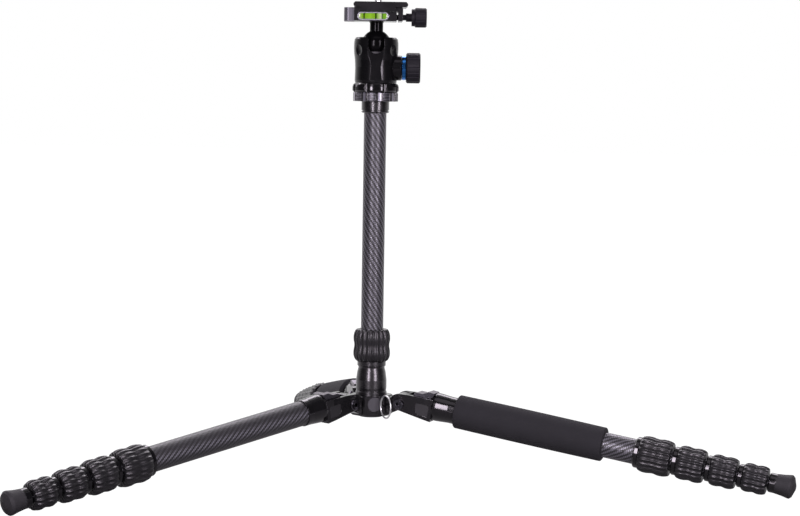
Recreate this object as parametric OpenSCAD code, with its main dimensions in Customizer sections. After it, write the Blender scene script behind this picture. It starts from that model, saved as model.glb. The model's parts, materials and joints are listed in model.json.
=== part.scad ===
// Compact five-section travel tripod with a ball head, standing at its lowest spread.
// Lengths are millimetres and angles degrees. +Z is up, z = 0 is the floor, and the head's
// front, with the bubble level and the drop notch, faces -Y.

/* [Stance] */
// Angle of the legs below horizontal
leg_angle = 9; // [7:0.5:14]
// Turn of the leg ring about the column against the head
leg_turn = 11; // [0:1:25]
// Distance from the column axis to each leg pivot
pivot_r = 30; // [29:0.5:34]
// Height of a leg tube's axis over its pivot
tube_offset = 3; // [2:0.5:4]

/* [Leg tubes] */
// Outer diameter of the top leg tube
tube_d = 22; // [21:0.5:24]
// Wall of every carbon tube
tube_wall = 1.2; // [1:0.1:1.2]
// Radial clearance between one leg tube and the next
tube_clear = 0.3; // [0.2:0.05:0.4]
// Bare length of the top tube between shoulder and first lock
top_tube_show = 164; // [120:1:220]
// Step between the upper ends of nested tubes
tube_nest_step = 2; // [1:0.5:4]

/* [Twist locks] */
// Length of the first twist lock, with its ferrule
lock_len = 32; // [28:0.5:40]
// How much shorter the second lock is
lock_len_step = 4.4; // [2:0.2:6]
// How much shorter each later lock is
lock_len_fine_step = 1.2; // [0:0.2:2]
// Outer diameter of the first twist lock
lock_d = 32; // [29:0.2:34]
// Step in diameter from one lock to the next
lock_d_step = 2.3; // [1.8:0.1:2.8]
// Gap between one lock and the next at rest
lock_gap = 1.6; // [0.6:0.2:3]
// Visible length of the ferrule over each lock ring
ferrule_len = 4; // [3:0.5:6]
// Thickness of the threaded ferrule over its tube
ferrule_wall = 1.4; // [1:0.1:1.6]
// Depth of the waist between a ring's two bulges
waist_dip = 0.8; // [0.4:0.1:1.4]
// Pitch of the grip ribs round a ring
rib_pitch = 4.2; // [3.6:0.1:5]
// Radius of the flutes between ribs
flute_r = 1.25; // [1.1:0.05:1.6]
// Depth of the flutes at a ring's crest
flute_depth = 0.4; // [0.3:0.05:0.8]

/* [Shoulder] */
// Distance from a leg pivot to the outer end of the shoulder
shoulder_len = 51; // [47:0.5:60]
// Depth of the tube socket in the shoulder
socket_depth = 20; // [15:0.5:22]
// Wall of the socket at its thick end
socket_wall = 1.6; // [1.2:0.1:2.2]
// Width of the shoulder over its fork
fork_w = 25; // [24:0.2:27]
// Width of the lug that the fork holds
lug_w = 16.4; // [14:0.2:17]
// Radius of the lug and the fork ends about the pivot
lug_r = 8.6; // [8:0.1:9]
// Depth of the fork and lug below the pivot
lug_low = 5.4; // [5:0.1:6.5]
// Diameter of the pivot bolt's shank
pivot_bolt_d = 6; // [5:0.5:8]
// Diameter of the pivot bolt's head
bolt_head_d = 10; // [9:0.5:10.5]

/* [Foam grips] */
// Diameter of the foam grip
foam_d = 30.4; // [27:0.2:31]
// Length of the foam grip
foam_len = 136; // [90:1:150]

/* [Feet] */
// Length of a rubber foot
foot_len = 23; // [20:0.2:30]
// Diameter of the foot's flared rim
foot_rim_d = 20.4; // [18:0.2:24]
// Diameter of the foot's neck
foot_neck_d = 16.8; // [15:0.2:18]

/* [Column] */
// Outer diameter of the centre column
column_d = 20; // [19:0.5:21]
// Column length between its lock and the head's sleeve
column_show = 193.4; // [150:0.2:260]
// Radial clearance of the column in its guide
column_clear = 0.3; // [0.2:0.05:0.4]
// Height of the hub
hub_h = 18; // [16:0.5:20]
// Height of the hub's top over the leg pivots
hub_rise = 6; // [5:0.5:7]
// Distance across the hub's flats
hub_flats = 34.6; // [33:0.2:35]
// Height of the bell-shaped neck over the hub
neck_h = 30; // [26:0.5:36]
// Largest diameter of the neck
neck_d = 27.4; // [26:0.2:29]
// Height of the column lock ring
column_lock_h = 28.6; // [24:0.2:34]
// Diameter of the column lock ring
column_lock_d = 33; // [31:0.2:34]

/* [Ball head] */
// Height of the sleeve under the head's base disc
sleeve_h = 10; // [8:0.5:14]
// Diameter of that sleeve
sleeve_d = 24.6; // [23.6:0.2:28]
// Height of the ribbed base disc
disc_h = 8; // [6:0.5:10]
// Diameter of the ribbed base disc
disc_d = 40; // [38:0.5:42]
// Height of the lobed pan base
pan_base_h = 8.4; // [7:0.2:10]
// Diameter of the lobed pan base
pan_base_d = 41.5; // [40:0.5:43]
// Height of the ball housing
housing_h = 40.2; // [38:0.2:44]
// Largest diameter of the ball housing
housing_d = 39.6; // [39:0.2:40]
// Diameter of the ball
ball_d = 26.4; // [25.6:0.2:26.8]
// Depth of the ball's centre under the housing's top
ball_depth = 6.3; // [6:0.1:7]
// Diameter of the ball's stem
stem_d = 11.8; // [10:0.2:12]
// Width of the drop notch
notch_w = 14.2; // [13.4:0.2:15]
// Depth of the ball seat's floor under the ball's centre
seat_drop = 16; // [15.6:0.1:16.6]
// Diameter of the main knob
knob_d = 27; // [24:0.5:28]
// Length of the main knob
knob_len = 12.6; // [10:0.2:16]
// Diameter of the friction ring
friction_ring_d = 21.5; // [20:0.5:23]
// Length of the friction ring
friction_ring_len = 3.5; // [3:0.1:5]

/* [Clamp and plate] */
// Distance from the ball's centre to the clamp's underside
clamp_rise = 20.4; // [20.2:0.1:22]
// Height of the clamp
clamp_h = 12; // [11.4:0.2:13]
// Length of the clamp along the plate's slide
clamp_depth = 36; // [32:0.5:38]
// Distance from the ball axis to the clamp's rounded end
clamp_left = 28.8; // [27:0.2:30]
// Distance from the ball axis to the split before the jaw
clamp_right = 17.7; // [17:0.1:18.5]
// Gap of the closed split
split_gap = 1.3; // [1:0.1:1.6]
// Thickness of the moving jaw
jaw_t = 4.2; // [4:0.1:5]
// Travel of the jaw when it opens
jaw_travel = 2.5; // [1.5:0.5:3]
// Diameter of the clamp knob
clamp_knob_d = 17.3; // [14:0.1:18]
// Length of the clamp knob
clamp_knob_len = 13.4; // [10:0.2:16]
// Length of the clamp screw in sight
clamp_screw_show = 7.8; // [6:0.2:10]
// Width of the plate's deck
plate_w = 48; // [46:0.5:52]
// Length of the plate along its slide
plate_depth = 40; // [36:0.5:44]
// Thickness of the plate's deck
plate_t = 4.6; // [4:0.2:6]
// Width of the plate's dovetail at its widest
dovetail_w = 34; // [33.2:0.1:34.4]
// Offset of the plate's seat from the ball axis
seat_x = 1.2; // [0.8:0.1:1.4]
// Height of the camera screw's thread over the plate
screw_rise = 5; // [4.5:0.1:5.5]

/* [Hidden] */
$fn = 48;
LEGS = ["left", "right", "rear"];
LEFT = 0;
RIGHT = 1;
REAR = 2;
LOCKS = 4;

// One overrun for every cut, and the gap between curved faces of different bodies
over = 1;
body_gap = 0.3;
run_gap = 0.05;
thin_gap = 0.15;
// Glue gap between pieces bonded together
bond_gap = 0.05;

// Share of a lock's length that the ferrule's thread and the tube reach into it
thread_share = 0.72;
// How much smaller the ferrule's collar is than its ring
collar_step = 5;

// Stations along a leg, measured from its pivot
leg_step = 120;
leg_az = [for (i = [0 : 2]) leg_turn + [210, 330, 90][i]];
lock_lens = [for (n = [0 : LOCKS - 1])
    lock_len - (n > 0 ? lock_len_step : 0) - max(n - 1, 0) * lock_len_fine_step];
lock_start = [for (n = 0, s = shoulder_len + top_tube_show; n <= LOCKS;
    s = s + (n < LOCKS ? lock_lens[n] : 0) + lock_gap, n = n + 1) s];
foot_start = lock_start[LOCKS];
foot_rim_s = foot_start + foot_len * 0.82;
socket_start = shoulder_len - socket_depth;

// Height of the leg pivots that puts the feet's rims on the floor
pivot_z = foot_rim_s * sin(leg_angle) + (foot_rim_d / 2 - tube_offset) * cos(leg_angle);

// The column stands where the footprint's box is centred on the origin
foot_reach = pivot_r + foot_rim_s * cos(leg_angle) + tube_offset * sin(leg_angle);
function reach(dir) =
    max([for (a = leg_az) foot_reach * cos(a - dir) + foot_rim_d / 2 * abs(sin(a - dir))]);
column_x = (reach(180) - reach(0)) / 2;
column_y = (reach(270) - reach(90)) / 2;

// Tube and lock sizes by section, counted from 0 at the shoulder
tube_step = 2 * (tube_wall + tube_clear);
function tube_od(n) = tube_d - n * tube_step;
function tube_id(n) = tube_od(n) - 2 * tube_wall;
function ring_d(n) = lock_d - n * lock_d_step;
function tube_from(n) = n == 0 ? socket_start : socket_start + 2 * tube_nest_step + n * tube_nest_step;

// Heights on the column, over the leg pivots
hub_bottom = hub_rise - hub_h;
neck_top = hub_rise + neck_h;
lock_top = neck_top + column_lock_h;
sleeve_z = lock_top + column_show;
disc_z = sleeve_z + sleeve_h;
pan_z = disc_z + disc_h;
housing_z = pan_z + pan_base_h + thin_gap;
housing_top = housing_z + housing_h;
ball_z = housing_top - ball_depth;
shaft_d = 7;
seat_floor = 0.8;
seat_z = ball_z - seat_drop;
knob_z = seat_z - seat_floor - shaft_d / 2;
spindle_h = 4.3;
clamp_z = ball_z + clamp_rise;
clamp_top = clamp_z + clamp_h;
column_bore = column_d + 2 * column_clear;
column_thread_wall = 2;
column_thread_d = column_bore + 2 * column_thread_wall;

// Places along X on the head
housing_r = housing_d / 2;
boss_rise = 3.2;
boss_end = housing_r + boss_rise;

// Puts children on the column's axis at the height of the leg pivots
module at_column() {
    translate([column_x, column_y, pivot_z]) children();
}

// Puts children in a leg's frame: +X runs out along the leg from its pivot, +Z is its upper side
module on_leg(leg) {
    at_column() rotate([0, 0, leg_az[leg]]) translate([pivot_r, 0, 0])
        rotate([0, leg_angle, 0]) children();
}

// Turns children, drawn along +Z, to run along a leg tube's axis from station s
module along_tube(s = 0) {
    translate([s, 0, tube_offset]) rotate([0, 90, 0]) children();
}

// Annular solid from z = 0
module ring(outer_d, inner_d, h) {
    rotate_extrude() translate([inner_d / 2, 0]) square([(outer_d - inner_d) / 2, h]);
}

// Solid of revolution through [radius, height] points, bored to inner_d
module turned(points, inner_d = 0) {
    last = len(points) - 1;
    rotate_extrude() polygon(concat(
        [[inner_d / 2, points[0][1]]], points, [[inner_d / 2, points[last][1]]]));
}

// Stations of a grip ring as [share of its length, share of its waist, share of its drawn-in ends]
grip_stations = [[0, 1, 1], [0.1, 0.3, 0.36], [0.25, 0, 0], [0.5, 1, 0], [0.72, 0, 0],
    [0.92, 0.32, 0.32], [1, 0.8, 0.8]];

// Ribbed grip ring with two bulges and a waist, from z = 0
module grip_ring(d, h, waist, ends) {
    flutes = round(PI * d / rib_pitch);
    difference() {
        turned([for (p = grip_stations) [d / 2 - waist * p[1] - ends * p[2], h * p[0]]]);
        for (i = [0 : flutes - 1]) rotate([0, 0, i * 360 / flutes])
            translate([d / 2 + flute_r - flute_depth, 0, -over])
                cylinder(r = flute_r, h = h + 2 * over, $fn = 24);
    }
}

// Leg pieces

// Twist lock n: ribbed ring that turns on its ferrule and closes on the next tube
module twist_lock(leg, n) {
    len = lock_lens[n] - ferrule_len - body_gap;
    thread_d = tube_od(n) + 2 * ferrule_wall;
    lip = len * 0.22;
    color("dimgray") on_leg(leg) along_tube(lock_start[n] + ferrule_len + body_gap) difference() {
        grip_ring(ring_d(n), len, waist_dip, 1.6 * waist_dip);
        translate([0, 0, -over]) cylinder(d = thread_d + 2 * run_gap, h = len - lip + over);
        translate([0, 0, -over]) cylinder(d = tube_od(n + 1) + 2 * body_gap, h = len + 2 * over);
    }
}

// Glossy ferrule bonded on the lower end of tube n: a visible collar and the thread in the lock
module ferrule(n) {
    collar_d = ring_d(n) - collar_step;
    thread_d = tube_od(n) + 2 * ferrule_wall;
    edge = ferrule_len / 4;
    translate([0, 0, lock_start[n]]) turned([
        [collar_d / 2 - edge, 0], [collar_d / 2, edge], [collar_d / 2, ferrule_len],
        [thread_d / 2, ferrule_len], [thread_d / 2, lock_lens[n] * thread_share]],
        tube_od(n) + 2 * bond_gap);
}

// Split collet that a lock squeezes on the next tube
module collet(n) {
    from = lock_start[n] + lock_lens[n] * thread_share + bond_gap;
    len = lock_lens[n] * 0.06;
    slit = tube_wall;
    difference() {
        translate([0, 0, from]) ring(tube_od(n), tube_od(n + 1) + 2 * run_gap, len);
        translate([0, -slit / 2, from - over]) cube([tube_d, slit, len + 2 * over]);
    }
}

// Leg tube n of 0 to 4, with its ferrule and collet, two more solids, where a lock follows
module leg_tube(leg, n) {
    to = n < LOCKS ? lock_start[n] + lock_lens[n] * thread_share : foot_start + foot_len * 0.6;
    color("darkslategray") on_leg(leg) translate([0, 0, tube_offset]) rotate([0, 90, 0]) {
        translate([0, 0, tube_from(n)]) ring(tube_od(n), tube_id(n), to - tube_from(n));
        if (n < LOCKS) {
            ferrule(n);
            collet(n);
        }
    }
}

// Foam sleeve on the top tube, a little fuller in the middle
module foam_grip(leg) {
    wall = (foam_d - tube_d) / 2;
    edge = wall * 0.45;
    end_r = foam_d / 2 - wall / 8;
    color("#2b2b2b") on_leg(leg) along_tube(shoulder_len) turned([
        [end_r - edge, 0], [end_r, edge],
        [foam_d / 2, foam_len / 3], [foam_d / 2, foam_len * 2 / 3],
        [end_r, foam_len - edge], [end_r - edge, foam_len]], tube_d);
}

// Rubber foot: neck, flare and blunt cone, bored for the last tube
module rubber_foot(leg) {
    neck_r = foot_neck_d / 2;
    rim_r = foot_rim_d / 2;
    color("#303030") on_leg(leg) along_tube(foot_start) difference() {
        turned([
            [neck_r * 0.9, 0], [neck_r, foot_len * 0.05], [neck_r, foot_len * 0.24],
            [neck_r + (rim_r - neck_r) * 0.4, foot_len * 0.52], [rim_r, foot_len * 0.77],
            [rim_r, foot_len * 0.82], [rim_r * 0.84, foot_len * 0.9],
            [rim_r * 0.2, foot_len]]);
        translate([0, 0, -over])
            cylinder(d = tube_od(LOCKS), h = foot_len * 0.6 + over);
    }
}

// Shoulder and angle stop sizes, as seen along the pivot bolt
tooth_h = 2.6;
tooth_r = lug_r + tooth_h;
pawl_gap = 0.4;
slot_end = tooth_r + pawl_gap;
pawl_reach = 4.6;
pawl_from = slot_end;
ear_r = lug_r + 0.6;
ear_taper = 1;
ear_back = 3;
block_rise = 7;
pawl_rise_share = 0.79;
pawl_low = lug_r * pawl_rise_share;
block_top = tube_offset + block_rise;
tab_t = 2.7;
tab_travel = 5;
tab_w = lug_w * 0.92;

// Side outline of the shoulder's block, with its fork end round the pivot
module shoulder_outline() {
    rounded_above(ear_r);
    polygon([[0, -lug_low], [socket_start, socket_wall * 0.75 - tube_d / 2],
        [socket_start, block_top], [slot_end * 0.7, block_top], [0, ear_r]]);
}

// Disc about the pivot, cut flat at the fork's depth below it
module rounded_above(r) {
    intersection() {
        circle(r = r);
        translate([-r, -lug_low]) square([2 * r, lug_low + r]);
    }
}

// Plan outline of the shoulder's block, drawn in towards the socket
module shoulder_plan() {
    half = fork_w / 2;
    end_half = tube_d / 2 + socket_wall * 0.4;
    polygon([[-lug_r - over, half - ear_taper], [ear_back - lug_r, half],
        [socket_start * 0.75, half], [socket_start + over, end_half],
        [socket_start + over, -end_half], [socket_start * 0.75, -half],
        [ear_back - lug_r, -half], [-lug_r - over, ear_taper - half]]);
}

// Outline of the pad recess on each side of the shoulder
module pad_outline(inset = 0) {
    x0 = socket_start * 0.5 + inset;
    x1 = socket_start * 0.9 - inset;
    z0 = -lug_r * 0.68 + inset;
    z1 = tube_offset * 1.5 - inset;
    cut = (z1 - z0) * 0.28;
    polygon([[x0 + cut, z0], [x1, z0], [x1, z1 - cut / 2], [x1 - cut / 2, z1], [x0, z1],
        [x0, z0 + cut * 1.6]]);
}

// Cast shoulder: forked block with side pads, and the socket for the top tube
module shoulder(leg) {
    half = fork_w / 2;
    pad_depth = socket_wall / 3;
    socket_d = tube_d + 2 * socket_wall;
    taper = socket_wall / 2;
    color("#1c1c1c") on_leg(leg) difference() {
        union() {
            intersection() {
                rotate([90, 0, 0]) translate([0, 0, -fork_w])
                    linear_extrude(2 * fork_w) shoulder_outline();
                translate([0, 0, -2 * fork_w]) linear_extrude(4 * fork_w) shoulder_plan();
            }
            along_tube(socket_start - socket_wall * 2) turned([
                [socket_d / 2 - socket_wall, 0], [socket_d / 2 - taper / 2, socket_wall * 1.6],
                [socket_d / 2, socket_wall * 2.4], [socket_d / 2, socket_depth * 0.3],
                [socket_d / 2 - taper, socket_depth * 0.7 + socket_wall * 2],
                [socket_d / 2 - taper, socket_depth + socket_wall * 1.7],
                [socket_d / 2 - 1.3 * taper, socket_depth + socket_wall * 2]]);
        }
        translate([-fork_w, -lug_w / 2 - body_gap, -fork_w])
            cube([fork_w + slot_end, lug_w + 2 * body_gap, 2 * fork_w]);
        along_tube(socket_start) cylinder(d = tube_d, h = socket_depth + over);
        rotate([90, 0, 0]) translate([0, 0, -fork_w])
            cylinder(d = pivot_bolt_d + 2 * run_gap, h = 2 * fork_w);
        // Channel of the stop tab, and the slide of its pawl
        translate([slot_end * 0.5, -tab_w / 2 - body_gap, block_top - over])
            cube([socket_start - slot_end * 0.5, tab_w + 2 * body_gap, tube_d]);
        translate([0, -tab_w / 3 - body_gap, pawl_low - body_gap])
            cube([pawl_from + pawl_reach + body_gap, 2 * tab_w / 3 + 2 * body_gap, tube_d]);
        for (side = [0, 1]) mirror([0, side, 0]) translate([0, -half + pad_depth, 0])
            rotate([90, 0, 0]) linear_extrude(over) pad_outline();
    }
}

// Angle stop: sliding tab with a thumb lip, and the pawl under it that meets the lug's teeth
module stop_tab(leg) {
    from = slot_end * 0.5 + tab_travel + body_gap;
    to = socket_start - body_gap - socket_wall / 2;
    lip = (to - from) * 0.3;
    rise = tab_t * 1.3;
    color("#101010") on_leg(leg) union() {
        translate([0, tab_w / 2, block_top + thin_gap]) rotate([90, 0, 0]) linear_extrude(tab_w)
            polygon([[from, 0], [to - lip / 2, 0], [to, rise], [to, rise + tab_t * 0.6],
                [to - lip, rise + tab_t * 0.7], [to - 1.9 * lip, tab_t], [from + tab_t, tab_t],
                [from, tab_t / 2]]);
        translate([pawl_from, -tab_w / 3, pawl_low])
            cube([pawl_reach, 2 * tab_w / 3, block_top + tab_t / 2 - pawl_low]);
    }
}

// The three pivot bolts and their cap nuts, both domed and with a socket recess
module leg_pivot_bolts() {
    head_h = 1.6;
    half = fork_w / 2;
    color("#202020") for (leg = [LEFT, RIGHT, REAR]) on_leg(leg)
        rotate([90, 0, 0]) difference() {
            union() {
                translate([0, 0, -half - body_gap]) cylinder(d = pivot_bolt_d, h = fork_w + body_gap);
                for (side = [0, 1]) mirror([0, 0, side])
                    translate([0, 0, half + thin_gap]) turned([
                        [bolt_head_d / 2, 0], [bolt_head_d / 2, head_h / 2],
                        [bolt_head_d / 2 - head_h / 3, head_h], [pivot_bolt_d / 2, head_h]]);
            }
            for (side = [0, 1]) mirror([0, 0, side])
                translate([0, 0, half - head_h]) cylinder(d = pivot_bolt_d * 0.66, h = tube_d, $fn = 6);
        }
}

// Hub and column guide

// Side outline of a lug, with the stop teeth for the three spreads on its rim
stop_tooth_angles = [-10.3, 19.8, 49.8];
tooth_span = 5.6;
lug_in = 0.9;
module lug_outline() {
    rounded_above(lug_r);
    polygon([[-pivot_r, hub_rise - lug_in], [0, hub_rise - lug_in], [0, -lug_low],
        [hub_flats / 2 - pivot_r, hub_bottom + lug_in], [-pivot_r, hub_bottom + lug_in]]);
    for (a = stop_tooth_angles) polygon([[0, 0],
        [tooth_r * cos(a), tooth_r * sin(a)],
        [tooth_r * cos(a + tooth_span), tooth_r * sin(a + tooth_span)]]);
}

// Height and reach of the small shelf that carries the strap ring
ring_from_leg = 45;
ring_az = leg_az[RIGHT] - ring_from_leg;
ring_wire_d = 1.5;
ring_r = 10;
ring_swing = 20;
shelf_t = 2;
shelf_z = (hub_bottom + hub_rise) / 2 + ring_r / 10;
shelf_hole_r = hub_flats / 2 / cos(leg_step / 2 - ring_from_leg) + ring_wire_d / 2
    + 2 * ring_r * pow(sin(ring_swing / 2), 2) + 2 * body_gap;
shelf_hole_d = ring_wire_d * 2.3;

// Hub: six-sided body with three toothed lugs, three cap seats and the strap ring's shelf
module hub() {
    round_off = 1.6;
    body_r = hub_flats / 2;
    color("#161616") at_column() difference() {
        union() {
            intersection() {
                translate([0, 0, hub_bottom]) rotate([0, 0, leg_turn])
                    cylinder(r = body_r / cos(30), h = hub_h, $fn = 6);
                translate([0, 0, hub_bottom]) turned([
                    [body_r * 1.12 - round_off, 0], [body_r * 1.12, round_off],
                    [body_r * 1.12, hub_h - round_off / 2], [body_r * 1.12 - round_off / 2, hub_h]]);
            }
            for (leg = [LEFT, RIGHT, REAR]) rotate([0, 0, leg_az[leg]])
                translate([pivot_r, lug_w / 2, 0]) rotate([90, 0, 0]) linear_extrude(lug_w)
                    lug_outline();
            rotate([0, 0, ring_az]) translate([shelf_hole_r, 0, shelf_z - shelf_t / 2]) {
                cylinder(r = shelf_hole_d, h = shelf_t);
                translate([-shelf_hole_r / 2, -shelf_hole_d, 0])
                    cube([shelf_hole_r / 2, 2 * shelf_hole_d, shelf_t]);
            }
        }
        translate([0, 0, hub_bottom - over]) cylinder(d = column_bore, h = hub_h + 2 * over);
        for (leg = [LEFT, RIGHT, REAR]) rotate([0, 0, leg_az[leg]]) translate([pivot_r, 0, 0])
            rotate([90, 0, 0]) translate([0, 0, -fork_w])
                cylinder(d = pivot_bolt_d, h = 2 * fork_w);
        for (leg = [LEFT, RIGHT, REAR]) rotate([0, 0, leg_az[leg] + 60])
            translate([body_r - cap_t / 2, 0, cap_z]) rotate([0, 90, 0])
                cylinder(d = cap_d, h = body_r);
        rotate([0, 0, ring_az]) translate([shelf_hole_r, 0, shelf_z - shelf_t])
            cylinder(d = shelf_hole_d, h = 2 * shelf_t);
    }
}

// Round matte caps on the hub's faces between the legs
cap_d = 13;
cap_t = 1.4;
cap_z = (hub_bottom + hub_rise) / 2 + 1.6;
module hub_caps() {
    color("#3a3a3a") at_column() for (leg = [LEFT, RIGHT, REAR])
        rotate([0, 0, leg_az[leg] + 60]) translate([hub_flats / 2 - cap_t / 2, 0, cap_z])
            rotate([0, 90, 0]) turned([[cap_d / 2, 0], [cap_d / 2, cap_t * 0.6],
                [cap_d / 2 - cap_t * 0.3, cap_t * 0.9]]);
}

// Wire ring for a strap, through the hub's shelf
module strap_ring() {
    color("silver") at_column() rotate([0, 0, ring_az])
        translate([shelf_hole_r + ring_r, 0, shelf_z]) rotate([90, 0, 0])
            rotate_extrude($fn = 64) translate([ring_r, 0]) circle(d = ring_wire_d, $fn = 8);
}

// Bell-shaped neck over the hub, with the thread that the column lock turns on
module neck() {
    r = neck_d / 2;
    thread_r = column_thread_d / 2;
    color("#101010") at_column() translate([0, 0, hub_rise]) turned([
        [r * 1.02, 0], [r * 1.02, neck_h * 0.08], [r * 0.975, neck_h * 0.12],
        [r, neck_h * 0.2], [r, neck_h * 0.44], [r * 0.93, neck_h * 0.68],
        [r * 0.86, neck_h * 0.8], [r * 0.86, neck_h * 0.84], [r * 0.93, neck_h * 0.87],
        [r * 0.93, neck_h * 0.99], [thread_r, neck_h * 0.99],
        [thread_r, neck_h + column_lock_h * 0.74]], column_bore);
}

// Column lock ring
module column_lock() {
    lip = column_lock_h * 0.22;
    color("dimgray") at_column() translate([0, 0, neck_top]) difference() {
        grip_ring(column_lock_d, column_lock_h, waist_dip, 3 * waist_dip);
        translate([0, 0, -over])
            cylinder(d = column_thread_d + 2 * run_gap, h = column_lock_h - lip + over);
        translate([0, 0, -over]) cylinder(d = column_bore, h = column_lock_h + 2 * over);
    }
}

// Column pieces and the base of the head

// Centre column tube
module column_tube() {
    from = hub_bottom - body_gap;
    to = disc_z - sleeve_roof;
    color("darkslategray") at_column() translate([0, 0, from])
        ring(column_d, column_d - 2 * tube_wall, to - from);
}

// Plug and stop flange on the column's lower end
module column_end_stop() {
    flange_h = 1.6;
    flange_r = column_d / 2 + 1.3;
    plug_r = column_d / 2 - tube_wall;
    from = hub_bottom - body_gap;
    color("#202020") at_column() translate([0, 0, from]) turned([
        [column_d / 2, -flange_h], [flange_r, -flange_h * 0.7],
        [flange_r, 0], [plug_r, 0], [plug_r, column_d / 2]]);
}

// Sleeve and ribbed disc bonded on the column's upper end
module column_top_plate() {
    groove = sleeve_h / 12;
    r = sleeve_d / 2;
    patches = 9;
    slot_step = 7;
    slot_r = disc_d / 50;
    slot_in = disc_d / 90;
    color("#181818") at_column() translate([0, 0, sleeve_z]) difference() {
        union() {
            turned([[r - groove, 0], [r, groove], [r, 2 * groove], [r - groove, 2 * groove],
                [r - groove, 3 * groove], [r, 3 * groove], [r, sleeve_h], [r, sleeve_h + over]]);
            translate([0, 0, sleeve_h]) turned([
                [disc_d / 2 - groove / 2, 0], [disc_d / 2, groove / 2],
                [disc_d / 2, disc_h - groove / 2], [disc_d / 2 - groove / 2, disc_h]]);
        }
        translate([0, 0, -over]) cylinder(d = column_d, h = sleeve_h - sleeve_roof + over);
        cylinder(d = stud_d + 2 * run_gap, h = sleeve_h + disc_h + over);
        for (i = [0 : patches - 1], k = [-1 : 1])
            rotate([0, 0, (i + 0.5) * 360 / patches + k * slot_step])
                translate([disc_d / 2 + slot_r - slot_in, 0, sleeve_h - over])
                    cylinder(r = slot_r, h = disc_h + 2 * over, $fn = 16);
    }
}

// Threaded stud that joins the column's plate to the pan base
stud_d = 9.5;
stud_in = 1;
sleeve_roof = 2;
module head_stud() {
    color("silver") at_column() translate([0, 0, disc_z - stud_in])
        cylinder(d = stud_d, h = disc_h + pan_base_h - run_gap);
}

// Lobed foot of the ball head, with the spindle that the housing pans on
module pan_base() {
    lobes = 8;
    r = pan_base_d / 2;
    spindle_d = r;
    color("#121212") at_column() translate([0, 0, pan_z]) difference() {
        union() {
            turned([[r * 0.93, 0], [r, pan_base_h * 0.22], [r, pan_base_h * 0.6],
                [r * 0.97, pan_base_h * 0.85], [r * 0.9, pan_base_h]]);
            cylinder(d = spindle_d, h = pan_base_h + spindle_h);
        }
        translate([0, 0, -over]) cylinder(d = stud_d + 2 * run_gap, h = pan_base_h - stud_in + over);
        for (i = [0 : lobes - 1]) rotate([0, 0, (i + 0.5) * 360 / lobes])
            translate([r + lobes / 6, 0, -over])
                cylinder(r = r / 8, h = pan_base_h * 0.9 + over, $fn = 24);
    }
}

// Ball head

// Puts children, drawn along +Z, on the main knob's axis, running out along +X
module on_knob_axis(x = 0) {
    at_column() translate([x, 0, knob_z]) rotate([0, 90, 0]) children();
}

ball_clear = 0.25;
pan_knob_d = 13;
pan_knob_z = housing_z + housing_h * 0.3;
boss_d = friction_ring_d * 1.04;
boss_edge = 0.8;
pan_boss_rise = 1;
knob_edge = 1.1;
knob_flute_share = 0.014;
small_knob_edge = 0.9;
shaft_from = 1;

// Half outline of the housing: [share of the largest radius, share of the height]
housing_shares = [[0.93, 0], [0.95, 0.06], [0.94, 0.2], [0.935, 0.34], [0.95, 0.5],
    [0.985, 0.64], [1, 0.76], [0.995, 0.88], [0.97, 0.96], [0.9, 1]];

// Ball housing: waisted shell with the drop notch, sculpted pillars, side hollows and bosses
module ball_housing() {
    r = housing_d / 2;
    face = r * 0.97;
    hollow_r = housing_h * 0.32;
    color("#1a1a1a") at_column() difference() {
        union() {
            intersection() {
                translate([0, 0, housing_z])
                    turned([for (p = housing_shares) [p[0] * r, p[1] * housing_h]]);
                translate([-2 * r, -face, housing_z - over])
                    cube([4 * r, 2 * face, housing_h + 2 * over]);
            }
            intersection() {
                translate([0, 0, knob_z]) rotate([0, 90, 0]) turned([
                    [boss_d / 2, r * 0.5], [boss_d / 2, boss_end - boss_edge],
                    [boss_d / 2 - boss_edge, boss_end]]);
                translate([0, -boss_d, housing_z]) cube([2 * boss_end, 2 * boss_d, housing_h]);
            }
            translate([0, 0, pan_knob_z]) rotate([-90, 0, 0])
                cylinder(d = pan_knob_d * 0.8, h = r + pan_boss_rise);
        }
        // Ball cavity, its mouth and the drop notch
        translate([0, 0, ball_z]) sphere(r = ball_d / 2 + ball_clear, $fn = 96);
        translate([0, 0, seat_z]) cylinder(r = ball_d / 2 + ball_clear, h = ball_z - seat_z);
        translate([0, 0, ball_z - notch_w * 0.08]) rotate([90, 0, 0])
            cylinder(d = notch_w, h = 2 * r);
        translate([-notch_w / 2, -2 * r, ball_z - notch_w * 0.08])
            cube([notch_w, 2 * r, housing_h]);
        // Shallow channel between the front pillars, and one at the back
        for (side = [0, 1]) mirror([0, side, 0])
            translate([-notch_w / 2, -2 * r, housing_z + housing_h * 0.05])
                cube([notch_w, r * 1.09, housing_h * (side ? 0.86 : 1)]);
        // Hollows beside the pillars
        for (az = [-142, -38, 38, 142]) rotate([0, 0, az])
            translate([r + hollow_r * 0.9, 0, housing_z + housing_h * 0.7])
                sphere(r = hollow_r, $fn = 48);
        // Shaft of the main knob, spindle of the pan base and screw of the pan knob
        translate([0, 0, knob_z]) rotate([0, 90, 0]) cylinder(d = shaft_d + 2 * run_gap, h = 3 * r);
        translate([0, 0, housing_z - over])
            cylinder(d = pan_base_d / 2 + 2 * run_gap, h = spindle_h + body_gap + over);
        translate([0, 0, pan_knob_z]) rotate([-90, 0, 0]) translate([0, 0, r / 2])
            cylinder(d = shaft_d / 2 + 2 * run_gap, h = 2 * r);
    }
}

// Seat that presses up on the ball
module ball_seat() {
    r = ball_d / 2;
    color("#d8d4c8") at_column() difference() {
        translate([0, 0, seat_z]) ring(2 * r, r, seat_drop * 0.6);
        translate([0, 0, ball_z]) sphere(r = r + run_gap, $fn = 96);
    }
}

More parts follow.
